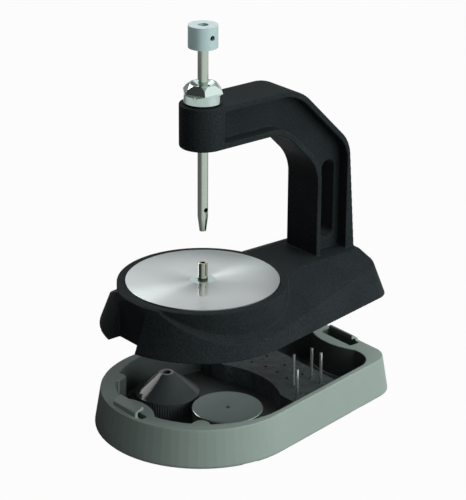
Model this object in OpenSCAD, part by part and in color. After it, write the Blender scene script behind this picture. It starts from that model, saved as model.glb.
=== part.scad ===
// Bracelet pin press: a cast C-frame with a round work plate and a sliding
// spindle, shown lifted off its storage tray. The origin is on the spindle's
// axis, on the surface that the press stands on. +Z is up, the column stands
// at +Y, and the tray's rounded nose points to -Y.

/* [Base tray] */
// Radius of the tray's rounded nose, at the ledge
nose_r = 58; // [56:1:62]
// How far the nose's centre lies in front of the spindle axis
nose_back = 1.4; // [0:0.2:3]
// Distance from the spindle axis to the tray's rear edge, at the ledge
rear_y = 113; // [108:1:120]
// Radius of the tray's rear corners, at the ledge
rear_corner_r = 14; // [12:0.5:18]
// Angle at which each side runs in towards the rear
side_angle = 10.5; // [8:0.5:12]
// Height of the tray casting
tray_h = 23; // [21:0.5:28]
// How much wider the tray is at its foot, on each side
tray_spread = 3.6; // [1.5:0.1:5]
// Height of the rounded edge at the tray's foot
foot_round = 1.5; // [0.5:0.1:2.5]
// Thickness of the tray's floor
floor_t = 3; // [2:0.5:4]
// Width of the ledge along the tray's sides
ledge_w = 3.7; // [3.5:0.1:5]
// Distance of the cavity's round front behind the spindle axis
cavity_back = 4; // [3:0.5:5]
// Distance from the rear edge to the cavity's rear wall
rear_wall = 12; // [11.5:0.5:14]
// Radius of the cavity's rear corners
cavity_corner_r = 15; // [12:1:18]
// Thickness of the anti-slip mat under the tray
mat_t = 1; // [0.5:0.1:2]
// Distance of the mat's edge inside the tray's foot
mat_inset = 5; // [3:0.5:10]
// Length of the four notches in the tray's foot
foot_notch_l = 9; // [6:0.5:12]
// Height of those notches
foot_notch_h = 0.7; // [0.4:0.1:1.2]
// How far they reach in under the wall
foot_notch_in = 4; // [2:0.5:4.5]
// Distance of the front notches in front of the spindle axis
foot_notch_front = 13; // [10:0.5:16]
// Distance of the rear notches behind the spindle axis
foot_notch_rear = 78.5; // [74:0.5:84]

/* [Catches] */
// Width of the two catches
catch_w = 20.8; // [16:0.2:22]
// Height of a catch above the ledge
catch_h = 5.5; // [4.5:0.1:6]
// Height of the gap under a catch's hook
hook_gap = 2.6; // [2:0.1:3]
// Thickness of a catch's upright leg
leg_t = 2.1; // [1.5:0.1:2.5]
// Reach of the front hook, from its outer face to its lip
front_hook = 6.2; // [5.5:0.1:6.5]
// Distance of the front catch's outer face inside the ledge's front edge
front_catch_in = 2.7; // [2:0.1:3.5]
// Reach of the rear hook
rear_hook = 5.2; // [4.5:0.1:5.5]
// Distance of the rear catch's outer face inside the rear edge
rear_catch_in = 0.6; // [0.4:0.1:1]
// How much lower the rear catch's hook is than the front one
rear_hook_drop = 1.2; // [0.6:0.1:1.6]
// Depth of the pockets in the ledge under the hooks
catch_pocket_d = 12; // [6:1:16]
// How far the pockets run past each end of the hooks
catch_pocket_over = 3; // [2:0.2:4]

/* [Storage block] */
// Height of the block above the tray's floor
block_h = 12; // [9:0.5:14]
// Radius of the hollow in the block's front, round the anvils
block_hollow_r = 49.6; // [46:0.2:51]
// Distance of the hollow's centre in front of the spindle axis
block_hollow_front = 5; // [4:0.2:8]
// Distance from the spindle axis to the block's straight front
block_front_y = 37; // [36:0.5:38]
// Distance from the spindle axis to the block's rear
block_rear_y = 75.5; // [72:0.5:80]
// Gap between the block and the tray's walls
block_gap = 0.3; // [0.1:0.1:0.6]
// Number of holes in the curved row
arc_holes = 9; // [5:1:9]
// Radius on which the curved row lies
arc_row_r = 52; // [51:0.5:53]
// Angle between the holes of the curved row
arc_hole_angle = 11.2; // [10.5:0.1:11.5]
// Angle of the curved row's middle hole, from +Y towards +X
arc_middle_angle = 1.6; // [-2:0.2:2]
// Distance from the spindle axis to the straight row
straight_row_y = 65.4; // [63:0.2:68]
// Distance between the holes of the straight row
straight_row_step = 16.3; // [14:0.1:17]
// Place of the straight row's first hole
straight_row_x = -19.5; // [-22:0.5:-17]
// Radius of the storage holes
block_hole_r = 0.95; // [0.95:0.01:1.3]
// Distance between the screws that hold the block from below
block_screw_step = 30; // [26:1:32]
// Distance of those screws inside the block's rear face
block_screw_in = 5; // [4:0.5:7]

/* [Punches] */
// Radius of a punch's shank
punch_r = 0.87; // [0.6:0.01:0.88]
// Length of a punch
punch_l = 29.8; // [26:0.2:30]
// Depth of a storage hole
punch_seat = 10; // [8:0.5:11.5]
// Radius of the finest punch's tip
tip_r = 0.25; // [0.2:0.05:0.35]
// How much the tip's radius grows from punch to punch
tip_step = 0.1; // [0.05:0.01:0.15]
// Length of a punch's turned-down tip
tip_l = 5; // [3:0.5:6]

/* [Anvils] */
// Thickness of the anvils' fluted rims
anvil_h = 10; // [8:0.5:12]
// Radius of the cone-topped anvil
cone_r = 19.3; // [18:0.1:20]
// Height of its cone above the rim
cone_h = 11.4; // [9:0.2:13]
// Radius of the flat ring at the cone's top
cone_top_r = 4.4; // [3.4:0.1:6]
// Radius of the hole through the cone-topped anvil
cone_hole_r = 2.2; // [1.5:0.1:2.6]
// Place of the cone-topped anvil
cone_at = [-23.8, -7.7];
// Radius of the flat anvil
flat_r = 20.6; // [19:0.1:21.4]
// Radius of the hole through the flat anvil
flat_hole_r = 1.5; // [1:0.1:2.5]
// Place of the flat anvil
flat_at = [16.1, 5.5];
// Number of flutes round each anvil
flutes = 80; // [60:2:90]
// Depth of a flute
flute_d = 0.45; // [0.3:0.05:0.6]
// Height of the smooth lip above the flutes
anvil_lip_h = 1.1; // [0.8:0.1:1.6]
// How far the lip stands out over the flutes
anvil_lip = 0.4; // [0.2:0.05:0.6]
// Width of the bevel on the lip's edge
anvil_bevel = 0.4; // [0.2:0.1:0.6]

/* [Press frame] */
// Height at which the press frame is shown above the tray's ledge
lifted = 40.4; // [30:0.2:60]
// Slope of the frame's walls, in mm inwards for each mm of height
wall_draft = 0.374; // [0.3:0.01:0.38]
// Height of the frame's foot, from its rim to the flat top of its roof
foot_h = 24.8; // [24:0.2:27]
// Half the width of the roof's flat top
roof_half = 18.2; // [16:0.2:20]
// Slope of the roof's two sides
roof_slope = 0.483; // [0.44:0.01:0.5]
// Wall thickness of the hollow foot, measured level
foot_wall = 2.6; // [2.4:0.1:3]
// Width of the shoulder inside the ring's wall, below the deck
ring_shoulder = 3; // [2:0.5:5]
// Height of the roof's plating above the hollow
roof_t = 2.6; // [2:0.1:2.8]
// Radius of the ring round the work plate
ring_r = 48.9; // [48:0.1:50]
// Height of the ring above the roof's flat top
ring_up = 0.6; // [0.4:0.1:1]
// Thickness of the deck under the work plate
deck_t = 3.4; // [2.5:0.1:4]
// Half the width of the scoops that clear the catches
scoop_half = 12; // [12:0.1:13]
// Gap between a hook's lip and the scoop behind it
scoop_gap = 0.5; // [0.4:0.1:1]

/* [Arm and column] */
// Height of the arm's underside above the frame's rim
arm_under = 106.4; // [96:0.2:120]
// Depth of the arm
arm_h = 24.5; // [22:0.1:27]
// Radius of the head round the spindle
head_r = 13.4; // [13.3:0.1:15]
// Half the width of the arm and column
arm_half = 13.3; // [12:0.1:13.3]
// Distance from the spindle axis to the column's front face
throat = 74.3; // [72:0.1:76]
// Length of the slanted corner at the inside of the bend
inner_cut = 26.1; // [20:0.1:30]
// Length of the slanted corner at the outside of the bend
outer_cut = 39.8; // [36:0.1:42]
// Radius that softens both ends of the inner slant
inner_soft_r = 25; // [15:1:28]
// Radius at the upper end of the outer slant
outer_soft_top_r = 28; // [15:1:30]
// Radius at the lower end of the outer slant
outer_soft_low_r = 22; // [15:1:26]
// Distance from the spindle axis to the column's rear, at the bend
column_rear_top = 98.7; // [97:0.1:99.5]
// The same at the roof
column_rear_foot = 104; // [103:0.1:105]
// Thickness of the flanges round the side pockets
flange_t = 3.3; // [2.8:0.1:4]
// Depth of the column's pocket, from front to rear
pocket_w = 19.9; // [18:0.1:20]
// Half the thickness of the web between the pockets
web_half = 5.5; // [4:0.1:7]
// Distance from the spindle axis to the end of the arm's pocket
pocket_end = 5; // [4:0.5:12]
// Half the width of the slot through the column
slot_half = 4.7; // [3.5:0.1:5]
// Height of the slot's lower end above the roof
slot_up = 6.5; // [5:0.1:10]
// Length of the slot
slot_l = 48.1; // [40:0.1:50]
// How far the slot's middle lies behind the column's front face
slot_back = 14.5; // [14:0.1:15]

/* [Work plate] */
// Radius of the work plate
plate_r = 44; // [43:0.1:44.5]
// Thickness of the work plate
plate_t = 4; // [3:0.1:5]
// Height of the plate above the ring
plate_proud = 0.6; // [0.4:0.1:1]
// Gap round the plate in its recess
plate_gap = 0.05; // [0.02:0.01:0.1]
// Radius of the bush in the plate's middle
plate_bush_r = 7.1; // [6:0.1:8]
// Radius of the screws that hold the plate from below
plate_screw_r = 2; // [1.5:0.1:2.5]
// Radius of the circle that the screws lie on
plate_screw_at = 30; // [25:1:34]

/* [Table stake] */
// Radius of the stake
stake_r = 2.7; // [2.3:0.05:3.1]
// Height of the stake above the plate
stake_up = 10; // [8:0.1:11]
// Radius of the stake's bore
stake_bore_r = 1.4; // [1.1:0.05:1.6]
// Width of the bevel round the stake's top
stake_bevel = 0.4; // [0.2:0.05:0.6]
// Running gap between the stake and its bush
stake_gap = 0.05; // [0.02:0.01:0.08]
// Height of the collar at the stake's foot
stake_collar_h = 1.2; // [0.8:0.1:1.6]
// How far the collar stands out
stake_collar = 0.2; // [0.1:0.05:0.5]
// Width of the crossed slits in the stake's top
stake_slit = 0.5; // [0.4:0.05:0.8]
// Height of the slits' lower ends above the collar
stake_slit_up = 1.4; // [1:0.1:3]

/* [Spindle] */
// Radius of the spindle
spindle_r = 3; // [2.6:0.05:3.2]
// Height of the spindle's tip above the work plate
tip_up = 29.6; // [25:0.2:40]
// Height of the knob's underside above the arm
knob_up = 32; // [28:0.2:40]
// Height of the tapered tip
taper_h = 8.8; // [6:0.1:10]
// Radius of the tip's end
tip_end_r = 1.9; // [1.7:0.05:2.2]
// Radius of the bore in the tip that takes a punch
holder_bore_r = 0.9; // [0.9:0.01:1.1]
// Height of the cross hole above the tip's end
cross_up = 13; // [11:0.5:15]
// Radius of the cross hole
cross_r = 1.3; // [0.8:0.05:1.5]
// Width of the slit from the cross hole to the tip
spindle_slit = 0.6; // [0.4:0.05:0.65]
// Running gap between the spindle and what guides it
spindle_gap = 0.05; // [0.02:0.01:0.08]
// Radius of the knob
knob_r = 8.35; // [7.5:0.05:10]
// Height of the knob
knob_h = 12.6; // [10:0.2:15]
// Depth of the spindle's end inside the knob's top
knob_sink = 1; // [0.5:0.1:2]
// Width of the bevel on the spindle's upper end
spindle_bevel = 0.5; // [0.2:0.1:0.8]
// Radius of the set screw
set_screw_r = 1.55; // [1.2:0.05:1.7]
// Height of the set screw above the knob's underside
set_screw_up = 6.6; // [5:0.1:8]
// Depth of the set screw's end inside the knob's surface
set_screw_in = 2; // [1:0.1:3]
// Depth of its hexagon socket
set_screw_socket = 2; // [1:0.1:2.4]

/* [Guide and nut] */
// Outer radius of the guide bush in the head
guide_r = 7; // [6.5:0.1:7.5]
// Radius of the guide bush's flange on the head
guide_flange_r = 9; // [8.5:0.1:9.5]
// Height of that flange
guide_flange_h = 1.1; // [0.8:0.1:2.2]
// Radius of the threaded stem inside the nut
stem_r = 6; // [5.7:0.1:6.2]
// Running gap between the nut and what it turns on
nut_gap = 0.05; // [0.02:0.01:0.08]
// Outer radius of the split collet
collet_r = 4.6; // [4.3:0.05:4.8]
// Length of the collet inside the bush
collet_l = 15; // [12:0.5:18]
// Width of the collet's slits
collet_slit = 0.6; // [0.4:0.05:0.8]
// Length of the collet's closed foot, below its slits
collet_foot = 4; // [2:0.5:6]
// Height of the collet's cone inside the nut
collet_cone_h = 3; // [2:0.1:3.6]
// Radius of the nut's round collar, at its foot
nut_foot_r = 10.9; // [10.4:0.1:11.4]
// Radius of the collar at the hexagon
nut_collar_r = 10.4; // [10:0.1:10.8]
// Height of the round collar
nut_collar_h = 6; // [5:0.1:6.6]
// Radius over the corners of the nut's hexagon
nut_hex_r = 12.1; // [12:0.1:12.6]
// Height of the bevel under the hexagon's corners
nut_corner_h = 1.6; // [1:0.1:2]
// Height of the tapering hexagon
nut_hex_h = 4.4; // [4.2:0.1:5.2]
// Angle at which a corner of the hexagon stands, from +X
nut_corner_angle = 27; // [0:1:59]
// Radius of the nut's round top
nut_top_r = 7.8; // [7.2:0.1:8.4]
// Width of the flat ring on that top
nut_land = 1.1; // [0.8:0.1:1.6]
// Depth of the dished mouth inside the ring
nut_dish = 1.6; // [1:0.1:2]

/* [Hidden] */
$fn = 96;
// Sides of the circles inside a hull, and how far a cut runs past a face
hull_fn = 72;
past = 1;

// Heights, from the standing surface upwards
ledge_z = mat_t + tray_h;
floor_z = mat_t + floor_t;
block_z = floor_z + block_h;
rim_z = ledge_z + lifted;
roof_z = rim_z + foot_h;
ring_z = roof_z + ring_up;
plate_z = ring_z + plate_proud;
deck_z = plate_z - plate_t;
under_z = rim_z + arm_under;
head_z = under_z + arm_h;
tip_z = plate_z + tip_up;
knob_z = head_z + knob_up;
nut_z = head_z + guide_flange_h;
hex_z = nut_z + nut_collar_h;
nut_top_z = hex_z + nut_hex_h;
roof_slant_z = roof_z + roof_half * roof_slope;

// Places along Y
cavity_r = nose_r - ledge_w - (cavity_back + nose_back) * sin(side_angle);
cavity_rear_y = rear_y - rear_wall;
front_catch_y = -nose_back - nose_r + front_catch_in;
front_lip_y = front_catch_y + front_hook;
rear_catch_y = rear_y - rear_catch_in;
rear_lip_y = rear_catch_y - rear_hook;
front_scoop_y = front_lip_y + scoop_gap;
rear_scoop_y = rear_lip_y - scoop_gap;

// The side view's slanted lines run at 45 degrees, so y + z is constant on one
inner_slant = throat - inner_cut + under_z;
outer_slant = column_rear_top - outer_cut + head_z;
flange_slant = flange_t * sqrt(2);

// Sizes of the bosses and lugs cast into the cavity's wall
front_boss_r = 25;
front_boss_in = 8;
rear_boss_r = 37;
rear_boss_in = 5.8;
lug_r = 5;
lug_angle = 47;
hook_lip_h = 0.5;

// Points on an arc
function arc(c, r, a0, a1, n) =
    [for (i = [0:n]) c + r * [cos(a0 + (a1 - a0) * i / n), sin(a0 + (a1 - a0) * i / n)]];

// Points of a corner q between p and s, rounded to radius r
function turn_of(a) = a > 180 ? a - 360 : a < -180 ? a + 360 : a;
function bend(p, q, s, r, n) =
    let (u = (p - q) / norm(p - q), v = (s - q) / norm(s - q), half = acos(u * v) / 2,
         c = q + (u + v) / norm(u + v) * r / sin(half),
         a = q + u * r / tan(half) - c, b = q + v * r / tan(half) - c,
         a0 = atan2(a[1], a[0]), turn = turn_of(atan2(b[1], b[0]) - a0))
    arc(c, r, a0, a0 + turn, n);

// An outline from corners [x, y, radius]
function corner(c) = [c[0], c[1]];
function rounded(cs, n = 10) =
    [for (i = [0:len(cs) - 1])
        let (p = corner(cs[(i + len(cs) - 1) % len(cs)]), q = corner(cs[i]),
             s = corner(cs[(i + 1) % len(cs)]))
        each (cs[i][2] > 0 ? bend(p, q, s, cs[i][2], n) : [q])];

// The tray's plan: a round nose, sides that run in, and two rounded corners
function corner_x(nose_y, r, far_y, corner_r) =
    (r - corner_r - (far_y - corner_r - nose_y) * sin(side_angle)) / cos(side_angle);
function egg(nose_y, r, far_y, corner_r) =
    let (x = corner_x(nose_y, r, far_y, corner_r), y = far_y - corner_r)
    concat(arc([0, nose_y], r, 180 - side_angle, 360 + side_angle, 60),
           arc([x, y], corner_r, side_angle, 90, 14),
           arc([-x, y], corner_r, 90, 180 - side_angle, 14));

// Places of the storage holes
function arc_hole(k) =
    let (a = arc_middle_angle + arc_hole_angle * (k - (arc_holes - 1) / 2))
    [arc_row_r * sin(a), cavity_back + arc_row_r * cos(a)];
function straight_hole(k) = [straight_row_x + straight_row_step * k, straight_row_y];
punch_at = [arc_hole((arc_holes - 1) / 2 + 2), arc_hole((arc_holes - 1) / 2 + 4),
            straight_hole(2.5), straight_hole(3)];
block_holes = concat([for (k = [0:arc_holes - 1]) arc_hole(k)],
                     [for (k = [0:3]) straight_hole(k)], [straight_hole(2.5)]);
block_screw_at = [for (k = [-1:1]) [k * block_screw_step, block_rear_y - block_screw_in]];
block_screw_r = 1.5;
block_screw_head_r = 2.8;
block_screw_head_h = 1.6;
block_screw_l = 8;
plate_screw_l = 6;
plate_screw_head_r = 3.5;
plate_screw_head_h = 2.5;

// Shapes that repeat

// A plate of the tray's plan, grown outwards by g, from z0 to z1
module egg_plate(g, z0, z1) {
    translate([0, 0, z0])
        linear_extrude(z1 - z0)
            polygon(egg(-nose_back, nose_r + g, rear_y + g, rear_corner_r + g));
}

// A drafted block of that plan: levels are [height, growth]
module egg_loft(levels) {
    x = corner_x(-nose_back, nose_r, rear_y, rear_corner_r);
    y = rear_y - rear_corner_r;
    hull()
        for (l = levels) {
            translate([0, -nose_back, l[0]]) cylinder(h = 0.01, r = nose_r + l[1], $fn = hull_fn);
            for (side = [-1, 1])
                translate([side * x, y, l[0]]) cylinder(h = 0.01, r = rear_corner_r + l[1], $fn = hull_fn);
        }
}

// A side view, given as [y, z] points, drawn out from x0 to x1
module side_extrude(points, x0, x1) {
    translate([x0, 0, 0]) rotate([90, 0, 90]) linear_extrude(x1 - x0) polygon(points);
}

// A rod from z0 to z1
module rod(r, z0, z1) {
    translate([0, 0, z0]) cylinder(h = z1 - z0, r = r);
}

// A cone or taper from z0 to z1
module taper(r0, r1, z0, z1) {
    translate([0, 0, z0]) cylinder(h = z1 - z0, r1 = r0, r2 = r1);
}

// A disc whose rim has straight flutes
module fluted_disc(r, h) {
    linear_extrude(h)
        polygon([for (i = [0:2 * flutes - 1])
            let (a = 180 * i / flutes, q = r - (i % 2) * flute_d) [q * cos(a), q * sin(a)]]);
}

// The rim of both anvils: flutes below a smooth, bevelled lip
module anvil_rim(r) {
    fluted_disc(r - anvil_lip, anvil_h - anvil_lip_h / 2);
    rod(r, anvil_h - anvil_lip_h, anvil_h - anvil_bevel);
    taper(r, r - anvil_bevel, anvil_h - anvil_bevel, anvil_h);
}

// The tray and what stays in it

module front_catch() {
    top = ledge_z + catch_h;
    low = ledge_z + hook_gap;
    inner_y = front_catch_y + leg_t;
    side_extrude([[front_catch_y, ledge_z - past], [front_catch_y, ledge_z + catch_h / 2],
                  [front_lip_y - 1, top], [front_lip_y, top - hook_lip_h],
                  [front_lip_y, low], [inner_y, low], [inner_y, ledge_z - past]],
                 -catch_w / 2, catch_w / 2);
}

module rear_catch() {
    top = ledge_z + catch_h - rear_hook_drop;
    low = ledge_z + hook_gap - rear_hook_drop;
    side_extrude([[rear_catch_y, ledge_z - past], [rear_catch_y, ledge_z + catch_h / 4],
                  [rear_lip_y + 1.2, top], [rear_lip_y, top - hook_lip_h],
                  [rear_lip_y, low], [rear_catch_y - leg_t, low], [rear_catch_y - leg_t, ledge_z - past]],
                 -catch_w / 2, catch_w / 2);
}

module foot_notches() {
    difference() {
        for (y = [-foot_notch_front, foot_notch_rear])
            translate([-2 * nose_r, y - foot_notch_l / 2, mat_t - past])
                cube([4 * nose_r, foot_notch_l, foot_notch_h + past]);
        egg_plate(tray_spread - foot_notch_in, 0, ledge_z);
    }
}

module catch_pocket(y0, y1) {
    half = catch_w / 2 + catch_pocket_over;
    translate([-half, y0, ledge_z - catch_pocket_d]) cube([2 * half, y1 - y0, catch_pocket_d + past]);
}

module tray_cavity() {
    difference() {
        translate([0, 0, floor_z]) linear_extrude(tray_h)
            polygon(egg(cavity_back, cavity_r, cavity_rear_y, cavity_corner_r));
        translate([0, cavity_back - cavity_r + front_boss_in - front_boss_r, 0])
            rod(front_boss_r, 0, ledge_z + tray_h);
        translate([0, cavity_rear_y - rear_boss_in + rear_boss_r, 0])
            rod(rear_boss_r, 0, ledge_z + tray_h);
        for (side = [-1, 1])
            translate([side * cavity_r * sin(lug_angle), cavity_back - cavity_r * cos(lug_angle), 0])
                rod(lug_r, 0, ledge_z + tray_h);
    }
}

module base_tray() {
    color("#6f7a78") {
        difference() {
            egg_loft([[mat_t, tray_spread - foot_round], [mat_t + foot_round, tray_spread],
                      [ledge_z - 0.01, 0]]);
            tray_cavity();
            catch_pocket(front_catch_y + leg_t, front_lip_y);
            catch_pocket(rear_lip_y - rear_hook + 1.5, rear_catch_y - leg_t);
            for (p = block_screw_at)
                translate([p[0], p[1], 0]) {
                    rod(block_screw_r, 0, ledge_z);
                    rod(block_screw_head_r, 0, mat_t + block_screw_head_h);
                }
            foot_notches();
        }
        front_catch();
        rear_catch();
    }
}

module base_mat() {
    color("#1c1d1e") egg_plate(tray_spread - mat_inset, 0, mat_t);
}

module storage_block() {
    color("#3a3f40")
        difference() {
            intersection() {
                translate([0, 0, floor_z]) linear_extrude(block_h)
                    polygon(egg(cavity_back, cavity_r - block_gap, cavity_rear_y, cavity_corner_r));
                translate([-nose_r, block_front_y, 0])
                    cube([2 * nose_r, block_rear_y - block_front_y, block_z]);
            }
            translate([0, -block_hollow_front, 0]) rod(block_hollow_r, 0, block_z + past);
            for (p = block_holes)
                translate([p[0], p[1], 0]) rod(block_hole_r, block_z - punch_seat, block_z + past);
            for (p = block_screw_at)
                translate([p[0], p[1], 0])
                    rod(block_screw_r, 0, mat_t + block_screw_head_h + block_screw_l - floor_t);
        }
}

module block_screws() {
    z1 = mat_t + block_screw_head_h;
    color("#9a9da0")
        for (p = block_screw_at)
            translate([p[0], p[1], 0]) {
                rod(block_screw_head_r, mat_t, z1);
                rod(block_screw_r, z1, z1 + block_screw_l - floor_t);
            }
}

module cone_anvil() {
    color("#15171a")
        translate([cone_at[0], cone_at[1], floor_z])
            difference() {
                union() {
                    anvil_rim(cone_r);
                    taper(cone_r - anvil_bevel, cone_top_r, anvil_h, anvil_h + cone_h);
                }
                rod(cone_hole_r, -past, anvil_h + cone_h + past);
            }
}

module flat_anvil() {
    color("#70787a")
        translate([flat_at[0], flat_at[1], floor_z])
            difference() {
                anvil_rim(flat_r);
                rod(flat_hole_r, -past, anvil_h + past);
            }
}

module punch(n) {
    z0 = block_z - punch_seat;
    color("#c4c8c6")
        translate([punch_at[n - 1][0], punch_at[n - 1][1], 0]) {
            rod(tip_r + tip_step * (n - 1), z0, z0 + tip_l);
            taper(tip_r + tip_step * (n - 1), punch_r, z0 + tip_l, z0 + tip_l + punch_r);
            rod(punch_r, z0 + tip_l + punch_r, z0 + punch_l);
        }
}
module punch_1() { punch(1); }
module punch_2() { punch(2); }
module punch_3() { punch(3); }
module punch_4() { punch(4); }

// The press frame

// The prism that cuts the roof: flat top of half width w at height top
module roof_prism(down) {
    z0 = rim_z - past;
    x0 = (roof_slant_z - down - z0) / roof_slope;
    top = roof_z - down;
    translate([0, 2 * rear_y, 0]) rotate([90, 0, 0]) linear_extrude(4 * rear_y)
        polygon([[-x0, z0], [x0, z0], [roof_half, top], [-roof_half, top]]);
}

module hollow() {
    intersection() {
        egg_loft([[rim_z - past, past * wall_draft - foot_wall], [roof_z, -foot_wall - foot_h * wall_draft]]);
        roof_prism(roof_t);
        translate([-nose_r, -2 * nose_r, 0]) cube([2 * nose_r, 4 * nose_r, deck_z - deck_t]);
        union() {
            translate([-nose_r, front_scoop_y + foot_wall, 0])
                cube([2 * nose_r, rear_scoop_y - front_scoop_y - 2 * foot_wall, roof_z]);
            for (side = [-1, 1])
                translate([side * (nose_r + scoop_half + foot_wall) - nose_r, -2 * nose_r, 0])
                    cube([2 * nose_r, 4 * nose_r, roof_z]);
        }
    }
    rod(ring_r - foot_wall - ring_shoulder, rim_z - past, deck_z - deck_t);
}

module scoop(y0, y1) {
    translate([-scoop_half, y0, rim_z - past]) cube([2 * scoop_half, y1 - y0, foot_h + 2 * past]);
}

module column_profile() {
    low = roof_z - roof_t - past;
    side_extrude(rounded([[0, under_z, 0], [throat - inner_cut, under_z, inner_soft_r],
                          [throat, under_z - inner_cut, inner_soft_r], [throat, low, 0],
                          [column_rear_foot, low, 0], [column_rear_foot, roof_z, 0],
                          [column_rear_top, outer_slant - column_rear_top, outer_soft_low_r],
                          [outer_slant - head_z, head_z, outer_soft_top_r], [0, head_z, 0]]),
                 -arm_half, arm_half);
}

module side_pocket() {
    front_y = throat + flange_t - 0.3;
    rear = front_y + pocket_w;
    low = under_z + flange_t;
    high = head_z - flange_t;
    inner = inner_slant + flange_slant;
    outer = outer_slant - flange_slant;
    side_extrude(rounded([[pocket_end, low, 0.8], [inner - low, low, inner_soft_r],
                          [front_y, inner - front_y, inner_soft_r], [front_y, roof_z, 0],
                          [rear, roof_z, 0], [rear, outer - rear, outer_soft_low_r - 2],
                          [outer - high, high, outer_soft_top_r - 1], [pocket_end, high, 0.8]]),
                 web_half, arm_half + past);
}

module column_slot() {
    y = throat + slot_back;
    z0 = roof_z + slot_up + slot_half;
    z1 = z0 + slot_l - 2 * slot_half;
    translate([-arm_half, y - slot_half, z0]) cube([2 * arm_half, 2 * slot_half, z1 - z0]);
    for (z = [z0, z1])
        translate([-arm_half, y, z]) rotate([0, 90, 0]) cylinder(h = 2 * arm_half, r = slot_half);
}

module press_frame() {
    color("#26292b")
        difference() {
            union() {
                intersection() {
                    egg_loft([[rim_z, 0], [roof_z, -foot_h * wall_draft]]);
                    roof_prism(0);
                }
                rod(ring_r, rim_z + foot_h / 3, ring_z);
                column_profile();
                rod(head_r, under_z, head_z);
            }
            hollow();
            scoop(-2 * nose_r, front_scoop_y);
            scoop(rear_scoop_y, 2 * rear_y);
            rod(plate_r + plate_gap, deck_z, ring_z + past);
            rod(plate_bush_r, rim_z, plate_z);
            for (a = [90, 210, 330])
                translate([plate_screw_at * cos(a), plate_screw_at * sin(a), 0])
                    rod(plate_screw_r, rim_z, deck_z + past);
            side_pocket();
            mirror([1, 0, 0]) side_pocket();
            column_slot();
            rod(guide_r, under_z - past, head_z + past);
        }
}

module work_plate() {
    color("#c9cccc")
        difference() {
            rod(plate_r, deck_z, plate_z);
            rod(plate_bush_r, deck_z - past, plate_z + past);
            for (a = [90, 210, 330])
                translate([plate_screw_at * cos(a), plate_screw_at * sin(a), 0])
                    rod(plate_screw_r, deck_z - past, deck_z - deck_t + plate_screw_l);
        }
}

module plate_bush() {
    color("#b9c2c0")
        difference() {
            rod(plate_bush_r, deck_z - deck_t, plate_z);
            rod(stake_r + stake_gap, deck_z - deck_t - past, plate_z + past);
        }
}

module plate_screws() {
    z0 = deck_z - deck_t;
    color("#9a9da0")
        for (a = [90, 210, 330])
            translate([plate_screw_at * cos(a), plate_screw_at * sin(a), 0])
                difference() {
                    union() {
                        rod(plate_screw_head_r, z0 - plate_screw_head_h, z0);
                        rod(plate_screw_r, z0, z0 + plate_screw_l);
                    }
                    translate([0, 0, z0 - plate_screw_head_h - past])
                        cylinder(h = past + 1.5, r = plate_screw_r * 0.8, $fn = 6);
                }
}

module table_stake() {
    top = plate_z + stake_up;
    slit_z = plate_z + stake_collar_h + stake_slit_up;
    color("#b4b5a4")
        difference() {
            union() {
                rod(stake_r, deck_z - deck_t + 1, top - stake_bevel);
                taper(stake_r, stake_r - stake_bevel, top - stake_bevel, top);
                rod(stake_r + stake_collar, plate_z, plate_z + stake_collar_h);
            }
            rod(stake_bore_r, deck_z - deck_t, top + past);
            for (a = [0, 90])
                rotate([0, 0, a]) {
                    translate([-stake_r - past, -stake_slit / 2, slit_z])
                        cube([2 * (stake_r + past), stake_slit, stake_up]);
                    translate([-stake_r - past, 0, slit_z]) rotate([0, 90, 0])
                        cylinder(h = 2 * (stake_r + past), r = stake_slit);
                }
        }
}

module guide_bush() {
    color("#4a4f50")
        difference() {
            union() {
                rod(guide_r, under_z, head_z);
                rod(guide_flange_r, head_z, nut_z);
                rod(stem_r, nut_z, hex_z);
            }
            rod(spindle_r + spindle_gap, under_z - past, hex_z + past);
            rod(collet_r, hex_z - collet_l, hex_z + past);
        }
}

module collet() {
    z0 = hex_z - collet_l;
    color("#8d9492")
        difference() {
            union() {
                rod(collet_r, z0, hex_z);
                taper(stem_r - 0.3, spindle_r + 1, hex_z, hex_z + collet_cone_h);
            }
            rod(spindle_r + spindle_gap, z0 - past, nut_top_z);
            for (a = [0, 90])
                rotate([0, 0, a + 45])
                    translate([-stem_r, -collet_slit / 2, z0 + collet_foot])
                        cube([2 * stem_r, collet_slit, nut_top_z - z0]);
        }
}

module collet_nut() {
    mouth_r = spindle_r + 0.6;
    color("#d3dcda")
        difference() {
            union() {
                taper(nut_foot_r, nut_collar_r, nut_z + 0.1, hex_z);
                rotate([0, 0, nut_corner_angle]) {
                    intersection() {
                        translate([0, 0, hex_z - nut_corner_h]) cylinder(h = nut_corner_h, r = nut_hex_r, $fn = 6);
                        taper(nut_collar_r, nut_hex_r + 0.4, hex_z - nut_corner_h, hex_z);
                    }
                    intersection() {
                        translate([0, 0, hex_z])
                            cylinder(h = nut_hex_h, r1 = nut_hex_r, r2 = nut_top_r + 0.9, $fn = 6);
                        taper(nut_hex_r + 1, nut_top_r, hex_z, nut_top_z);
                    }
                }
            }
            rod(stem_r + nut_gap, nut_z, hex_z);
            taper(stem_r + nut_gap, mouth_r, hex_z, hex_z + collet_cone_h + 0.6);
            rod(mouth_r, hex_z, nut_top_z + past);
            taper(mouth_r, nut_top_r - nut_land, nut_top_z - nut_dish, nut_top_z + 0.01);
        }
}

// The spindle and its knob

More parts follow.
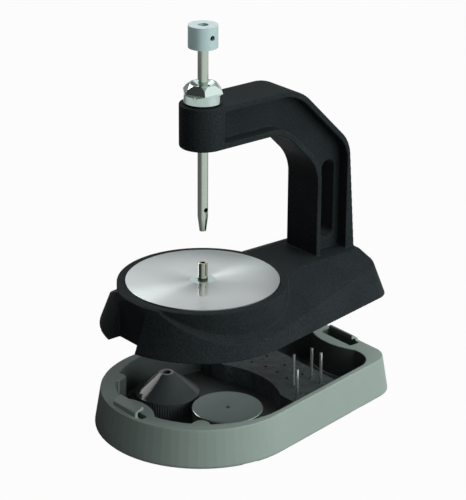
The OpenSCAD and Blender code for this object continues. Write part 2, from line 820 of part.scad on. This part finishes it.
module spindle() {
    cross_z = tip_z + cross_up;
    top = knob_z + knob_h - knob_sink;
    color("#b7c2b4")
        difference() {
            union() {
                taper(tip_end_r, spindle_r, tip_z, tip_z + taper_h);
                rod(spindle_r, tip_z + taper_h, top - spindle_bevel);
                taper(spindle_r, spindle_r - spindle_bevel, top - spindle_bevel, top);
            }
            rod(holder_bore_r, tip_z - past, cross_z);
            translate([-spindle_r - past, -spindle_slit / 2, tip_z - past])
                cube([2 * (spindle_r + past), spindle_slit, cross_up + past]);
            translate([-spindle_r - past, 0, cross_z]) rotate([0, 90, 0])
                cylinder(h = 2 * (spindle_r + past), r = cross_r);
        }
}

module spindle_knob() {
    color("#b3c4c4")
        difference() {
            rod(knob_r, knob_z, knob_z + knob_h);
            rod(spindle_r, knob_z - past, knob_z + knob_h + past);
            translate([0, 0, knob_z + set_screw_up]) rotate([0, 90, 0])
                cylinder(h = knob_r + past, r = set_screw_r);
        }
}

module knob_set_screw() {
    color("#2b2e30")
        translate([0, 0, knob_z + set_screw_up]) rotate([0, 90, 0])
            difference() {
                rod(set_screw_r, spindle_r, knob_r - set_screw_in);
                translate([0, 0, knob_r - set_screw_in - set_screw_socket])
                    cylinder(h = set_screw_socket + past, r = set_screw_r * 0.55, $fn = 6);
            }
}

base_tray();
base_mat();
storage_block();
block_screws();
cone_anvil();
flat_anvil();
punch_1();
punch_2();
punch_3();
punch_4();
press_frame();
work_plate();
plate_bush();
plate_screws();
table_stake();
guide_bush();
collet();
collet_nut();
spindle();
spindle_knob();
knob_set_screw();
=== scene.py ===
import math

import bmesh
import bpy
from mathutils import Matrix, Vector


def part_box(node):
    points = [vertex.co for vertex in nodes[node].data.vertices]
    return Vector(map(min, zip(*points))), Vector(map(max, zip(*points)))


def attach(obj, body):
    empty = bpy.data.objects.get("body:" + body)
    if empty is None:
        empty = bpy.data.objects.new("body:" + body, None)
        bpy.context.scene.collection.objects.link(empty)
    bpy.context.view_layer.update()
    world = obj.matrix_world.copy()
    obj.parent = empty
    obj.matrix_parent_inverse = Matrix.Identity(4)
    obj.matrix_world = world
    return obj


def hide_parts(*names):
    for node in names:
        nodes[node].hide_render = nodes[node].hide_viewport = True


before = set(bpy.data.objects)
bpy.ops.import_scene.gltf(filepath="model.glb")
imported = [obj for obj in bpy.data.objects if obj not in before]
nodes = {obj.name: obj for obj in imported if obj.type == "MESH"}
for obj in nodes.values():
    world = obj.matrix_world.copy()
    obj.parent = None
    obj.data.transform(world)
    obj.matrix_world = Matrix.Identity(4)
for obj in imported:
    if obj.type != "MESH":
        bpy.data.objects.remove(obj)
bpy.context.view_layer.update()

# The camera
# It stands in front of the press and to its right, a little above the work plate,
# as the photograph was taken, and looks at a point just beside the spindle's axis.
MM = 0.001
picture_h = 500
focal_pixels = 2128.468
sensor = 36
camera_turn = math.radians(50.47)
camera_lift = math.radians(22.155)
camera_roll = math.radians(0.412)
camera_distance = 1202.18 * MM
aim_right = 17.084 * MM
aim_up = 108.06 * MM

level = math.cos(camera_lift)
back = Vector((math.sin(camera_turn) * level, -math.cos(camera_turn) * level, math.sin(camera_lift)))
flat_right = Vector((math.cos(camera_turn), math.sin(camera_turn), 0))
flat_away = Vector((-math.sin(camera_turn), math.cos(camera_turn), 0))
right = flat_right * math.cos(camera_roll) + back.cross(flat_right) * math.sin(camera_roll)
up = back.cross(right)
camera = bpy.data.objects.new("camera", bpy.data.cameras.new("camera"))
camera.matrix_world = Matrix((right, up, back)).transposed().to_4x4()
camera.location = right * aim_right + Vector((0, 0, aim_up)) + back * camera_distance
camera.data.sensor_width = sensor
camera.data.lens = focal_pixels / picture_h * sensor
bpy.context.scene.collection.objects.link(camera)
bpy.context.scene.camera = camera
bpy.context.scene.view_settings.view_transform = "Standard"

# The floor and the light
# A pale sweep under large soft lamps on the right and above, with one weaker lamp on
# the left for the gleam on polished pieces. The left of the room is dark.
floor_half = 4
floor_white = 0.2
seen_white = 0.97
upright = (0, 0, 1)
side_stops = ((0.18, 0.01), (0.42, 0.7))
floor_side = 0.8
floor_light = 0.5
floor_stops = ((0.75, 0), (0.95, 1))
high_stops = ((0.6, 0), (0.8, 0.85))
beyond_stops = ((0.3, 0), (0.6, 1))
far_light = 1.15
far_across = 0.6
far_upward = 0.8
far_stops = ((0.42, 0.1), (0.56, 1))
far_left_stops = ((0.2, 0.1), (0.36, 1))
room_strength = 0.7
room_rest = 0.01
room_stops = ((0.45, 0), (0.8, 1))
light_turn = math.radians(24)
flat_light = (math.cos(light_turn), math.sin(light_turn), 0)
lamp_aim = Vector((0, 30, 100)) * MM
lamps = [("lamp_right", (1.2, 0.53, 0.38), (1.1, 0.6), 12, False),
         ("lamp_top", (0.35, 0.4, 1.25), (1, 1), 9, False),
         ("lamp_left", (-0.88, -0.14, 0.72), (0.6, 0.6), 4.4, True)]


class Wire:
    """An output of a node. Python's operators on it add Math nodes."""

    def __init__(self, tree, socket):
        self.tree = tree
        self.socket = socket

    def node(self, kind, settings, inputs, output=0):
        made = self.tree.nodes.new("ShaderNode" + kind)
        for name, value in settings.items():
            if name == "stops":
                stops = made.color_ramp.elements
                for index, (place, shade) in enumerate(value):
                    stop = stops[index] if index < 2 else stops.new(place)
                    stop.position = place
                    stop.color = (shade, shade, shade, 1)
            else:
                setattr(made, name, value)
        for name, value in inputs.items():
            if isinstance(value, Wire):
                self.tree.links.new(value.socket, made.inputs[name])
            else:
                made.inputs[name].default_value = value
        return Wire(self.tree, made.outputs[output])

    def math(self, operation, other):
        return self.node("Math", {"operation": operation}, {0: self, 1: other})

    def vector(self, operation, other=None, output=0):
        inputs = {0: self} if other is None else {0: self, 1: other}
        return self.node("VectorMath", {"operation": operation}, inputs, output)

    def part(self, index):
        """The x, y or z of a vector."""
        return self.node("SeparateXYZ", {}, {0: self}, index)

    def mix(self, colour_a, colour_b):
        """Colour a where this wire is 0, colour b where it is 1."""
        a, b = (shade if isinstance(shade, Wire) else (*shade, 1) for shade in (colour_a, colour_b))
        settings = {"data_type": "RGBA", "clamp_factor": True}
        return self.node("Mix", settings, {0: self, 6: a, 7: b}, 2)

    def ramp(self, *stops):
        return self.node("ValToRGB", {"stops": stops}, {"Fac": self})

    def noise(self, scale, detail=2, rough=0.5):
        inputs = {"Vector": self, "Scale": scale, "Detail": detail, "Roughness": rough}
        return self.node("TexNoise", {}, inputs)

    def stretched(self, x, y, z):
        return self.vector("MULTIPLY", (x, y, z))

    def bump(self, height_mm):
        return self.node("Bump", {}, {"Strength": 1, "Distance": height_mm * MM, "Height": self})

    def into(self, name):
        self.tree.links.new(self.socket, self.tree.nodes["Principled BSDF"].inputs[name])

    def __add__(self, other):
        return self.math("ADD", other)

    def __sub__(self, other):
        return self.math("SUBTRACT", other)

    def __rsub__(self, other):
        return self.node("Math", {"operation": "SUBTRACT"}, {0: other, 1: self})

    def __mul__(self, other):
        return self.math("MULTIPLY", other)

    __radd__ = __add__
    __rmul__ = __mul__


def toward(away, line):
    """1 where a direction follows the line, -1 where it goes back."""
    return away.vector("DOT_PRODUCT", tuple(line), "Value")


def side_light(across):
    """How light the room is on this side. Its left is dark."""
    return (0.5 + 0.5 * across).ramp(*side_stops)


def show_to_rays(tree, direct, mirrored, lit, glow, output):
    """Rays from the camera see the direct glow and reflected ones the mirrored glow.

    The rest meet the lit shader, which only the lamps and the room light."""
    path = tree.nodes.new("ShaderNodeLightPath")
    from_camera, reflected, passed = (
        Wire(tree, path.outputs[f"Is {kind} Ray"]) for kind in ("Camera", "Glossy", "Transmission"))
    seen = from_camera * direct + reflected * mirrored + passed * direct
    mix = tree.nodes.new("ShaderNodeMixShader")
    tree.links.new(seen.socket, mix.inputs[0])
    tree.links.new(lit.outputs[0], mix.inputs[1])
    tree.links.new(glow.outputs[0], mix.inputs[2])
    tree.links.new(mix.outputs[0], tree.nodes[output].inputs[0])


floor_material = bpy.data.materials.new("pale_floor")
floor_material.use_nodes = True
floor_tree = floor_material.node_tree
floor_shader = floor_tree.nodes["Principled BSDF"]
floor_shader.inputs["Base Color"].default_value = (floor_white, floor_white, floor_white, 1)
floor_shader.inputs["Roughness"].default_value = 1
floor_shader.inputs["Specular IOR Level"].default_value = 0
floor_glow = floor_tree.nodes.new("ShaderNodeEmission")
spot = Wire(floor_tree, floor_tree.nodes.new("ShaderNodeTexCoord").outputs["Object"])
near = floor_side * side_light(toward(spot.vector("NORMALIZE"), flat_right))
distant = spot.vector("LENGTH", None, "Value").ramp(*floor_stops)
mirrored = near + distant * (floor_light - near)
show_to_rays(floor_tree, seen_white, mirrored, floor_shader, floor_glow, "Material Output")
floor_mesh = bpy.data.meshes.new("floor")
floor_corners = [(-floor_half, -floor_half, 0), (floor_half, -floor_half, 0),
                 (floor_half, floor_half, 0), (-floor_half, floor_half, 0)]
floor_mesh.from_pydata(floor_corners, [], [(0, 1, 2, 3)])
floor_mesh.materials.append(floor_material)
floor = bpy.data.objects.new("floor", floor_mesh)
bpy.context.scene.collection.objects.link(floor)

world = bpy.data.worlds.new("room")
world.use_nodes = True
world_tree = world.node_tree
room_light = world_tree.nodes["Background"]
room_light.inputs["Color"].default_value = (1, 1, 1, 1)
room_glow = world_tree.nodes.new("ShaderNodeBackground")
room_glow.inputs["Color"].default_value = (1, 1, 1, 1)
away = Wire(world_tree, world_tree.nodes.new("ShaderNodeTexCoord").outputs["Generated"])
away = away.vector("NORMALIZE")
across, beyond, upward, sunny = (
    toward(away, line) for line in (flat_right, flat_away, upright, flat_light))
side = side_light(across)
high = side - side * upward.ramp(*high_stops)
slant = 0.5 - far_across * across + far_upward * (upward - back.z)
far = far_light * slant.ramp(*far_stops) * (0.5 + 0.5 * across).ramp(*far_left_stops)
mirrored = high + beyond.ramp(*beyond_stops) * (far - high)
strength = room_strength * (room_rest + (0.5 + 0.5 * sunny).ramp(*room_stops))
world_tree.links.new(strength.socket, room_light.inputs["Strength"])
show_to_rays(world_tree, 1, mirrored, room_light, room_glow, "World Output")
bpy.context.scene.world = world

for name, place, size, power, gleams in lamps:
    lamp = bpy.data.objects.new(name, bpy.data.lights.new(name, "AREA"))
    lamp.data.shape = "RECTANGLE"
    lamp.data.size, lamp.data.size_y = size
    lamp.data.energy = power
    lamp.location = place
    lamp.rotation_euler = (Vector(place) - lamp_aim).to_track_quat("Z", "Y").to_euler()
    lamp.visible_glossy = gleams
    lamp.visible_diffuse = not gleams
    bpy.context.scene.collection.objects.link(lamp)

# The base tray
# A die casting with a grey satin coat, its inside darkened with painted shade: one piece
# with the storage tub, the ledge that the press stands on, and the two hooked catches.
cast_voxel = 0.4 * MM
cast_softness = 0.5
cast_smoothing = 7
cast_faces_kept = 0.3
tub_front = 4 * MM
tub_rear = 60 * MM
tub_floor = 6 * MM
wall_stops = ((0.56, 0), (0.72, 1))
level_from = 0.8


def new_material(name, plain):
    """A material with these plain values on its shader, and the place on the piece as a wire."""
    material = bpy.data.materials.new(name)
    material.use_nodes = True
    shader = material.node_tree.nodes["Principled BSDF"]
    for socket, value in plain.items():
        shader.inputs[socket].default_value = value
    place = material.node_tree.nodes.new("ShaderNodeTexCoord")
    return material, Wire(material.node_tree, place.outputs["Object"])


def highlit_edges(place, low, high):
    """Where a painted highlight goes: 0 on flats and in corners, 1 on sharp outer edges."""
    return place.node("NewGeometry", {}, {}, "Pointiness").ramp((low, 0), (high, 1))


def outward(place):
    """The direction that the surface faces."""
    return place.node("TexCoord", {}, {}, "Normal")


def painted_tub_shade(place):
    """Where painted shade goes: 1 on the tub's inner walls and floor, 0 outside and on the ledge."""
    faces = outward(place)
    middle = place.part(1).math("MAXIMUM", tub_front).math("MINIMUM", tub_rear)
    line = place.node("CombineXYZ", {}, {1: middle, 2: place.part(2)})
    away = place.vector("SUBTRACT", line).vector("NORMALIZE")
    walls = (0.5 - 0.5 * away.vector("DOT_PRODUCT", faces, "Value")).ramp(*wall_stops)
    flat = faces.part(2).math("GREATER_THAN", level_from)
    return walls.math("MAXIMUM", flat * place.part(2).math("LESS_THAN", tub_floor))


def stand_for(piece, node, body, material):
    """Puts a piece in its CAD node's place, on its body, in its finish."""
    piece.data.materials.clear()
    piece.data.materials.append(material)
    for face in piece.data.polygons:
        face.material_index = 0
    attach(piece, body)
    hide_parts(node)


def cast_copy(node, name):
    """The node's form with the softly rounded edges and corners of a casting."""
    piece = bpy.data.objects.new(name, nodes[node].data.copy())
    bpy.context.scene.collection.objects.link(piece)
    skin = piece.modifiers.new("skin", "REMESH")
    skin.mode = "VOXEL"
    skin.voxel_size = cast_voxel
    skin.use_smooth_shade = True
    soften = piece.modifiers.new("soften", "SMOOTH")
    soften.factor = cast_softness
    soften.iterations = cast_smoothing
    thin = piece.modifiers.new("thin", "DECIMATE")
    thin.ratio = cast_faces_kept
    return piece


grey_coat, at = new_material("grey_satin_coat", {"Specular IOR Level": 0.3,
                                                 "Specular Tint": (0.85, 1, 0.95, 1)})
mottle = at.noise(60, 3)
fleck = at.noise(2600, 2)
# Painted highlight: the sharp outer edges are lightened, as where light catches them.
painted_edge_light = highlit_edges(at, 0.53, 0.62)
tone = mottle.mix((0.225, 0.285, 0.257), (0.255, 0.32, 0.29))
# Painted shade: the tub's inner walls and floor are darkened.
tone = painted_tub_shade(at).mix(tone, (0.06, 0.075, 0.072))
(painted_edge_light * 0.35).mix(tone, (0.42, 0.5, 0.47)).into("Base Color")
(0.42 + 0.16 * mottle).into("Roughness")
fleck.bump(0.03).into("Normal")
tray = cast_copy("base_tray", "base_tray_cast")
stand_for(tray, "base_tray", "tray", grey_coat)

# The mat under the tray
# A sheet of soft black rubber, glued to the tray's underside, so that the press
# doesn't slide on the bench. It shows only from below.
rubber, at = new_material("black_rubber", {"Specular IOR Level": 0.3})
pores = at.noise(900, 3)
pores.mix((0.018, 0.018, 0.019), (0.035, 0.035, 0.036)).into("Base Color")
(0.75 + 0.2 * pores).into("Roughness")
pores.bump(0.08).into("Normal")
nodes["base_mat"].data.materials.clear()
nodes["base_mat"].data.materials.append(rubber)

# The storage block
# A block of dark, coarsely textured moulded plastic, screwed to the tray's floor from
# below. It has two rows of holes for the punches, whose insides carry painted shade.
curved_row_y = 4 * MM
curved_row_r = 52 * MM
curved_row_half = 39.5 * MM
straight_row_y = 65.4 * MM
straight_row_half = 33 * MM
hole_reach = 1 * MM
hole_mouth = 0.03 * MM
same_point = 0.001 * MM
same_plane = math.radians(0.5)


def from_line(place, point, along=upright):
    """The distance of a place from the line through the point, such as a lathe's axis."""
    off = place.vector("SUBTRACT", tuple(point))
    return off.vector("CROSS_PRODUCT", along).vector("LENGTH", None, "Value")


def close_to(value, middle, reach):
    """1 where the value is within reach of the middle, 0 elsewhere."""
    return value.node("Math", {"operation": "COMPARE"}, {0: value, 1: middle, 2: reach})


def edged_copy(node, name, width_mm, segments=2, sharp=32):
    """The node's form with its sharp edges broken, as a machined or moulded piece has them."""
    piece = bpy.data.objects.new(name, nodes[node].data.copy())
    bpy.context.scene.collection.objects.link(piece)
    shape = bmesh.new()
    shape.from_mesh(piece.data)
    bmesh.ops.remove_doubles(shape, verts=shape.verts, dist=same_point)
    bmesh.ops.dissolve_limit(shape, angle_limit=same_plane, verts=shape.verts, edges=shape.edges)
    for face in shape.faces:
        face.smooth = True
    for line in shape.edges:
        line.smooth = line.is_manifold and line.calc_face_angle(0) < math.radians(sharp)
    shape.to_mesh(piece.data)
    shape.free()
    if "custom_normal" in piece.data.attributes:
        piece.data.attributes.remove(piece.data.attributes["custom_normal"])
    breaks = piece.modifiers.new("broken_edges", "BEVEL")
    breaks.width = width_mm * MM
    breaks.segments = segments
    breaks.limit_method = "ANGLE"
    breaks.angle_limit = math.radians(sharp)
    breaks.harden_normals = True
    return piece


block_plastic, at = new_material("textured_block_plastic", {"Specular IOR Level": 0.4})
leather = at.noise(1100, 4, 0.6)
blotch = at.noise(140, 2)
leather_tone = (0.7 * leather + 0.3 * blotch).ramp((0.3, 0), (0.7, 1))
tone = leather_tone.mix((0.012, 0.017, 0.018), (0.12, 0.156, 0.158))
low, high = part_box("storage_block")
wide, deep, tall = (at.part(index) for index in range(3))
curved_row = close_to(from_line(at, (0, curved_row_y, 0)), curved_row_r, hole_reach)
curved_row = curved_row * close_to(wide, 0, curved_row_half)
straight_row = close_to(deep, straight_row_y, hole_reach) * close_to(wide, 0, straight_row_half)
# Painted shade: the insides of the punch holes are darkened almost to black.
hole_shade = (curved_row + straight_row) * tall.math("LESS_THAN", high.z - hole_mouth)
hole_shade.mix(tone, (0.003, 0.004, 0.004)).into("Base Color")
(0.55 + 0.3 * leather).into("Roughness")
leather.bump(0.5).into("Normal")
block = edged_copy("storage_block", "storage_block_moulded", 0.2)
stand_for(block, "storage_block", "tray", block_plastic)

# The screws
# Small steel screws with a blackened finish: three hold the storage block to the
# tray, three hold the work plate to the casting, both from below.
black_steel, at = new_material("blackened_steel", {"Metallic": 1.0})
oil = at.noise(700, 2)
oil.mix((0.03, 0.032, 0.034), (0.08, 0.083, 0.086)).into("Base Color")
(0.3 + 0.25 * oil).into("Roughness")
screws = edged_copy("block_screws", "block_screws_turned", 0.15)
stand_for(screws, "block_screws", "tray", black_steel)

# The two anvils
# Turned discs with fluted rims that turn by hand, both with a hole in the middle. One
# is black and topped by a cone, the other is grey with a flat top and a bare lip.
flutes = 80
flute_depth = 0.45 * MM
steps_in_flute = 8
rounding_steps = 4
lip = 0.4 * MM
lip_h = 1.1 * MM
cone_rim_h = 10 * MM
cone_rim_slope = 0.25 * MM
cone_top_r = 4.4 * MM
cone_hole_r = 2.2 * MM
flat_hole_r = 1.5 * MM
bare_reach = 0.03 * MM


def turned(name, profile, axis, steps):
    """A lathed piece. Profile points are (radius, height, share of the flutes' depth)."""
    shape = bmesh.new()
    rings = []
    for step in range(steps):
        angle = 2 * math.pi * step / steps
        dip = flute_depth * (0.5 - 0.5 * math.cos(flutes * angle))
        ring = []
        for radius, height, share in profile:
            out = radius - share * dip
            ring.append(shape.verts.new((axis[0] + out * math.cos(angle),
                                         axis[1] + out * math.sin(angle), height)))
        rings.append(ring)
    for step in range(steps):
        here, there = rings[step], rings[(step + 1) % steps]
        for row in range(len(profile)):
            after = (row + 1) % len(profile)
            shape.faces.new((here[row], there[row], there[after], here[after])).smooth = True
    bmesh.ops.recalc_face_normals(shape, faces=shape.faces)
    mesh = bpy.data.meshes.new(name)
    shape.to_mesh(mesh)
    shape.free()
    piece = bpy.data.objects.new(name, mesh)
    bpy.context.scene.collection.objects.link(piece)
    return piece


def rounded_profile(corners):
    """Corners are (radius, height, rounding, share of the flutes' depth)."""
    points = []
    count = len(corners)
    for index in range(count):
        before, here, after = (Vector(corners[(index + turn) % count][:2]) for turn in (-1, 0, 1))
        rounding, fluted = corners[index][2:]
        if not rounding:
            points.append((here.x, here.y, fluted))
            continue
        to_before = (before - here).normalized()
        to_after = (after - here).normalized()
        reach = rounding / math.tan(to_before.angle(to_after) / 2)
        start = here + to_before * reach
        end = here + to_after * reach
        for step in range(rounding_steps + 1):
            t = step / rounding_steps
            point = start * (1 - t) ** 2 + here * (2 * t * (1 - t)) + end * t ** 2
            points.append((point.x, point.y, fluted))
    return points


low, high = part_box("cone_anvil")
cone_axis = (low + high) / 2
cone_r = (high.x - low.x) / 2
cone_foot = low.z
rim_top = cone_foot + cone_rim_h
lip_low = rim_top - lip_h
cone_profile = rounded_profile([
    (cone_hole_r, cone_foot, 0.3 * MM, 0), (cone_r - lip, cone_foot, 0.5 * MM, 1),
    (cone_r - lip, lip_low, 0.15 * MM, 1), (cone_r, lip_low, 0.12 * MM, 0),
    (cone_r, rim_top - cone_rim_slope, 0.2 * MM, 0), (cone_r - lip, rim_top, 0.2 * MM, 0),
    (cone_top_r, high.z, 0.7 * MM, 0), (cone_hole_r, high.z, 0.4 * MM, 0)])
cone = turned("cone_anvil_turned", cone_profile, cone_axis, flutes * steps_in_flute)
black_gloss, at = new_material("black_anvil_finish", {"Specular IOR Level": 0.38})
haze = at.noise(130, 3)
haze.mix((0.06, 0.072, 0.073), (0.08, 0.095, 0.096)).into("Base Color")
(0.1 + 0.05 * haze).into("Roughness")
at.noise(1500, 2).bump(0.008).into("Normal")
stand_for(cone, "cone_anvil", "cone_anvil", black_gloss)

low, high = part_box("flat_anvil")
flat_axis = (low + high) / 2
flat_r = (high.x - low.x) / 2
flat_foot = low.z
lip_low = high.z - lip_h
flat_profile = rounded_profile([
    (flat_hole_r, flat_foot, 0.3 * MM, 0), (flat_r - lip, flat_foot, 0.5 * MM, 1),
    (flat_r - lip, lip_low, 0.15 * MM, 1), (flat_r, lip_low, 0.12 * MM, 0),
    (flat_r, high.z - lip, 0.2 * MM, 0), (flat_r - lip, high.z, 0.2 * MM, 0),
    (flat_hole_r, high.z, 0.2 * MM, 0)])
flat = turned("flat_anvil_turned", flat_profile, flat_axis, flutes * steps_in_flute)
grey_anodised, at = new_material("grey_anodised", {})
haze = at.noise(110, 3)
tone = haze.mix((0.215, 0.29, 0.272), (0.26, 0.345, 0.325))
bare = from_line(at, flat_axis).math("GREATER_THAN", flat_r - lip - bare_reach)
bare.mix(tone, (0.45, 0.52, 0.5)).into("Base Color")
(0.3 + 0.5 * bare).into("Metallic")
(0.38 + 0.12 * haze - 0.2 * bare).into("Roughness")
at.noise(1800, 2).bump(0.01).into("Normal")
stand_for(flat, "flat_anvil", "flat_anvil", grey_anodised)

# The punches
# Four straight pins of hardened steel with turned-down tips, each a size finer
# than the next. They stand tip down in the storage block.
punch_steel, at = new_material("ground_punch_steel", {"Metallic": 0.85})
grind = at.stretched(1, 1, 0.05).noise(3000, 2)
grind.mix((0.66, 0.72, 0.7), (0.86, 0.92, 0.9)).into("Base Color")
(0.2 + 0.12 * grind).into("Roughness")
for number in (1, 2, 3, 4):
    name = f"punch_{number}"
    punch = edged_copy(name, name + "_ground", 0.12)
    stand_for(punch, name, name, punch_steel)

# The press frame
# One black powder-coated casting: the hollow foot with its gabled roof, the ring
# round the work plate, and the slotted column and arm of I-section.
powder_coat, at = new_material("black_powder_coat", {"Specular IOR Level": 0.06,
                                                     "Specular Tint": (0.75, 1, 1, 1)})
mottle = at.noise(45, 3)
grain = at.noise(1100, 3, 0.6).ramp((0.3, 0), (0.7, 1))
# Painted highlight: the casting's sharp outer edges are lightened.
painted_edge_light = highlit_edges(at, 0.535, 0.62)
tone = (0.4 * mottle + 0.6 * grain).mix((0.004, 0.006, 0.0065), (0.0275, 0.0345, 0.036))
(painted_edge_light * 0.3).mix(tone, (0.06, 0.072, 0.072)).into("Base Color")
(0.48 + 0.2 * grain).into("Roughness")
grain.bump(0.1).into("Normal")
casting = cast_copy("press_frame", "press_frame_cast")
stand_for(casting, "press_frame", "frame", powder_coat)

# The work plate
# A thick steel disc, faced on a lathe and polished, so that its fine round marks
# spread the light into soft wedges. It drops into the ring and is screwed down.
plate_bore_r = 7.1 * MM
plate_steps = 256
low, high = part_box("work_plate")
plate_axis = (low + high) / 2
plate_r = (high.x - low.x) / 2
plate_profile = rounded_profile([
    (plate_bore_r, low.z, 0, 0), (plate_r, low.z, 0, 0),
    (plate_r, high.z, 0.2 * MM, 0), (plate_bore_r, high.z, 0.06 * MM, 0)])
plate = turned("work_plate_faced", plate_profile, plate_axis, plate_steps)
faced_steel, at = new_material("faced_steel", {
    "Metallic": 1.0, "Anisotropic": 0.9, "Anisotropic Rotation": 0.25,
    "Coat Weight": 1.0, "Coat Roughness": 0.06, "Coat IOR": 2.1})
haze = at.noise(35, 3)
rings = from_line(at, plate_axis).noise(5000, 2)
haze.mix((0.47, 0.53, 0.53), (0.59, 0.65, 0.65)).into("Base Color")
(0.26 + 0.1 * haze + 0.05 * rings).into("Roughness")
stand_for(plate, "work_plate", "frame", faced_steel)

# The plate's bush
# A turned steel bush pressed into the plate's middle. The table stake stands in it.
turned_steel, at = new_material("turned_bush_steel", {"Metallic": 1.0, "Anisotropic": 0.5})
haze = at.noise(300, 2)
haze.mix((0.56, 0.7, 0.68), (0.66, 0.8, 0.78)).into("Base Color")
(0.3 + 0.15 * haze).into("Roughness")
bush = edged_copy("plate_bush", "plate_bush_turned", 0.06)
stand_for(bush, "plate_bush", "frame", turned_steel)
plate_screws = edged_copy("plate_screws", "plate_screws_turned", 0.15)
stand_for(plate_screws, "plate_screws", "frame", black_steel)

# The table stake
# A hardened steel peg with a split, open top and a small collar. Its bore and its collar carry
# painted shade. It holds the bracelet's link while the pin is pushed out.
stake_bore_reach = 1.5 * MM
stake_collar_from = 2.75 * MM
stake_steel, at = new_material("hardened_stake_steel", {"Metallic": 1.0})
turning = at.stretched(0.1, 0.1, 1).noise(2600, 2)
tone = turning.mix((0.56, 0.57, 0.48), (0.7, 0.71, 0.6))
low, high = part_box("table_stake")
off_axis = from_line(at, (low + high) / 2)
# Painted shade: the bore is darkened, and the collar is darkened as a shadow gap at the foot.
hole_shade = off_axis.math("LESS_THAN", stake_bore_reach)
collar_shade = off_axis.math("GREATER_THAN", stake_collar_from)
hole_shade.math("MAXIMUM", collar_shade * 0.85).mix(tone, (0.01, 0.012, 0.01)).into("Base Color")
(0.12 + 0.08 * turning + 0.3 * collar_shade).into("Roughness")
stake = edged_copy("table_stake", "table_stake_turned", 0.12)
stand_for(stake, "table_stake", "stake", stake_steel)

# The guide bush
# A turned sleeve pressed into the head, with a flange on top and a threaded stem
# for the nut. The spindle slides in its bore.
dark_steel, at = new_material("dark_turned_steel", {"Metallic": 1.0})
haze = at.noise(500, 2)
haze.mix((0.1, 0.115, 0.11), (0.19, 0.21, 0.2)).into("Base Color")
(0.25 + 0.15 * haze).into("Roughness")
guide = edged_copy("guide_bush", "guide_bush_turned", 0.15)
stand_for(guide, "guide_bush", "frame", dark_steel)
collet = edged_copy("collet", "collet_turned", 0.08)
stand_for(collet, "collet", "frame", dark_steel)

# The collet nut
# A bright plated nut, round below and six-sided above, that closes the collet on
# the spindle. Its corners are chamfered and its top is countersunk.
bright_plate, at = new_material("bright_plating", {"Metallic": 1.0})
haze = at.noise(400, 2)
haze.mix((0.68, 0.84, 0.78), (0.78, 0.94, 0.88)).into("Base Color")
(0.08 + 0.08 * haze).into("Roughness")
nut = edged_copy("collet_nut", "collet_nut_plated", 0.1, sharp=12)
stand_for(nut, "collet_nut", "nut", bright_plate)

# The spindle
# A ground steel rod with a tapered tip, which is bored, split and cross-drilled
# to take a punch.
cross_hole_up = 13 * MM
cross_hole_reach = 1.36 * MM
spindle_bore_reach = 1.5 * MM
ground_steel, at = new_material("ground_spindle_steel", {"Metallic": 1.0, "Anisotropic": 0.4})
grind = at.stretched(0.15, 0.15, 1).noise(2200, 3)
tone = grind.mix((0.6, 0.7, 0.6), (0.72, 0.82, 0.72))
low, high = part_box("spindle")
middle = (low + high) / 2
cross_hole = from_line(at, (middle.x, middle.y, low.z + cross_hole_up), (1, 0, 0))
# Painted shade: the cross hole and the bore are darkened almost to black.
hole_shade = cross_hole.math("LESS_THAN", cross_hole_reach)
hole_shade = hole_shade.math("MAXIMUM", from_line(at, middle).math("LESS_THAN", spindle_bore_reach))
hole_shade.mix(tone, (0.006, 0.007, 0.006)).into("Base Color")
(0.16 + 0.1 * grind).into("Roughness")
spindle = edged_copy("spindle", "spindle_ground", 0.15)
stand_for(spindle, "spindle", "spindle", ground_steel)

# The spindle's knob
# A turned light-alloy knob whose upward faces are painted lighter as light from above,
# bored through for the rod and held by a set screw.
satin_alloy, at = new_material("satin_knob_alloy", {})
haze = at.noise(220, 3)
tone = haze.mix((0.5, 0.68, 0.68), (0.58, 0.77, 0.77))
# Painted light: upward-facing surfaces get a lighter, less metallic colour.
lit_top = outward(at).part(2).ramp((0.6, 0), (0.9, 1))
lit_top.mix(tone, (0.8, 0.95, 0.95)).into("Base Color")
(0.65 - 0.45 * lit_top).into("Metallic")
(0.3 + 0.12 * haze).into("Roughness")
knob = edged_copy("spindle_knob", "spindle_knob_turned", 0.5, segments=3)
stand_for(knob, "spindle_knob", "spindle", satin_alloy)
set_screw = edged_copy("knob_set_screw", "knob_set_screw_turned", 0.1)
stand_for(set_screw, "knob_set_screw", "spindle", black_steel)
